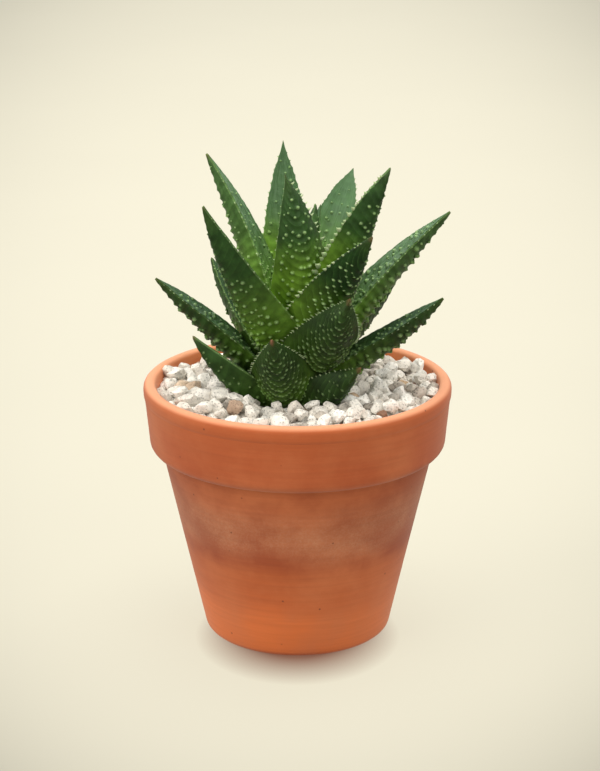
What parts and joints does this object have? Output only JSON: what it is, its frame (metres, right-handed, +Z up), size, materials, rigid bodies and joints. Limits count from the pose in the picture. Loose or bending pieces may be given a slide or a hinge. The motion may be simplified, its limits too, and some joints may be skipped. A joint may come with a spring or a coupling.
{
  "type": "potted aloe",
  "caption": "Rosette of thick, pointed, tooth-edged aloe leaves with pale bumps, on a short stem in a tapered clay pot with a rim band, filled with soil under pale gravel.",
  "frame": {"origin": "centre of the pot's foot, on the surface it stands on", "axes": "+Z up along the pot's axis, -Y towards the side seen in the picture, +X to the right in it"},
  "size_m": [0.108, 0.108, 0.1711],
  "materials": {
    "clay": "unglazed fired clay, matte, with pale salt bloom",
    "soil": "crumbly dark potting mix",
    "pumice": "matte, pitted, off-white to tan",
    "stem_green": "soft satin plant tissue",
    "outer_leaf_green": "firm waxy succulent leaf, dark green",
    "inner_leaf_green": "firm waxy succulent leaf, brighter green at the base"
  },
  "bodies": {
    "root": {"gravel": "pumice", "leaf_back_left": "outer_leaf_green", "leaf_back_low": "outer_leaf_green", "leaf_back_low_left": "outer_leaf_green", "leaf_back_low_right": "outer_leaf_green", "leaf_back_mid": "inner_leaf_green", "leaf_back_mid_right": "outer_leaf_green", "leaf_back_right": "outer_leaf_green", "leaf_front_low_left": "outer_leaf_green", "leaf_front_low_right": "outer_leaf_green", "leaf_front_right": "inner_leaf_green", "leaf_heart": "inner_leaf_green", "leaf_heart_pale": "inner_leaf_green", "leaf_left_front": "inner_leaf_green", "leaf_left_long": "outer_leaf_green", "leaf_left_low": "outer_leaf_green", "leaf_right_behind": "outer_leaf_green", "leaf_right_front": "inner_leaf_green", "leaf_right_long": "outer_leaf_green", "leaf_right_low": "outer_leaf_green", "leaf_tall_back": "inner_leaf_green", "leaf_upper_back": "inner_leaf_green", "leaf_upper_back_left": "inner_leaf_green", "leaf_upper_back_right": "inner_leaf_green", "leaf_upper_front": "inner_leaf_green", "leaf_upper_left": "inner_leaf_green", "leaf_upper_right": "inner_leaf_green", "pot": "clay", "soil": "soil", "stem": "stem_green"}
  },
  "joints": []
}
